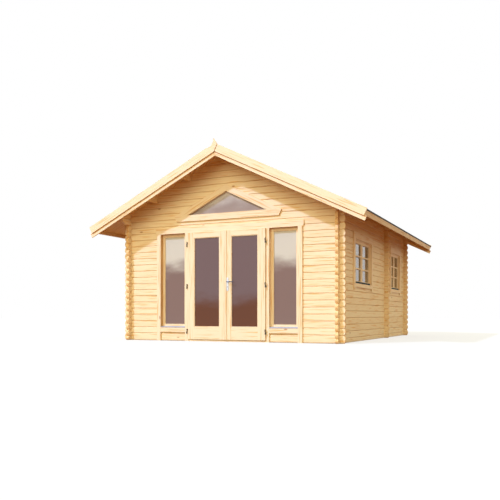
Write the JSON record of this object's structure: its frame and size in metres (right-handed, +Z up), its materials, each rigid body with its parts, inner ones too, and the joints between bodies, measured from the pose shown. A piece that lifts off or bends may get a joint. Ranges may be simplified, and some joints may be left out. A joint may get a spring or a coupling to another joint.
{
  "type": "log garden house",
  "caption": "Garden house of planed logs with lapped corners, glazed double door between sidelights, triangular gable window, side windows and a low purlin roof.",
  "frame": {"origin": "centre of the plan at ground level", "axes": "+Z up, -Y towards the door side, +X to the right as seen from the door side"},
  "size_m": [5.2124, 5.83, 3.4281],
  "materials": {
    "log_spruce": "planed, clear oiled",
    "trim_spruce": "planed, clear oiled",
    "board_spruce": "planed",
    "felt": "fine grit",
    "glass": "clear",
    "sheet_metal": "coated",
    "dark_sheet_metal": "coated",
    "dark_steel": "satin",
    "satin_metal": "satin"
  },
  "bodies": {
    "house": {"front_left_logs": "log_spruce", "front_right_logs": "log_spruce", "front_gable_logs": "log_spruce", "left_wall_logs": "log_spruce", "right_wall_logs": "log_spruce", "inner_wall_logs": "log_spruce", "back_wall_logs": "log_spruce", "eaves_plates": "log_spruce", "purlins": "log_spruce", "ridge_purlin": "log_spruce", "front_bargeboards": "trim_spruce", "back_bargeboards": "trim_spruce", "lower_bargeboards": "trim_spruce", "eaves_boards": "trim_spruce", "door_posts": "trim_spruce", "front_jambs": "trim_spruce", "door_stops": "trim_spruce", "threshold": "trim_spruce", "front_casing": "trim_spruce", "sidelight_sills": "trim_spruce", "sidelight_sashes": "trim_spruce", "gable_casing": "trim_spruce", "gable_frame": "trim_spruce", "window_casings": "trim_spruce", "window_frames": "trim_spruce", "window_sashes": "trim_spruce", "floor_bearers": "board_spruce", "front_room_floor": "board_spruce", "back_room_floor": "board_spruce", "left_roof_boards": "board_spruce", "right_roof_boards": "board_spruce", "left_felt": "felt", "right_felt": "felt", "sidelight_glass": "glass", "gable_glass": "glass", "window_glass": "glass", "sidelight_drips": "sheet_metal", "window_drips": "dark_sheet_metal", "frame_hinges": "dark_steel"},
    "left_door": {"left_leaf": "trim_spruce", "left_glass": "glass", "left_hinges": "dark_steel"},
    "right_door": {"right_leaf": "trim_spruce", "right_glass": "glass", "right_hinges": "dark_steel", "cover_strip": "trim_spruce", "handle_plates": "satin_metal"},
    "handle": {"handle_lever": "satin_metal"}
  },
  "joints": [
    {"name": "left_door_hinge", "type": "hinge", "parent": "house", "child": "left_door", "pos_m": [-0.7595, -2.5235, 0], "axis": [0, 0, -1], "range_deg": [0, 105]},
    {"name": "right_door_hinge", "type": "hinge", "parent": "house", "child": "right_door", "pos_m": [0.7595, -2.5235, 0], "axis": [0, 0, 1], "range_deg": [0, 105]},
    {"name": "lever_turn", "type": "hinge", "parent": "right_door", "child": "handle", "pos_m": [0.05, -2.49, 1.036], "axis": [0, 1, 0], "range_deg": [0, 40], "stiffness_Nm_per_rad": 1.5, "springref_deg": -17.19}
  ]
}
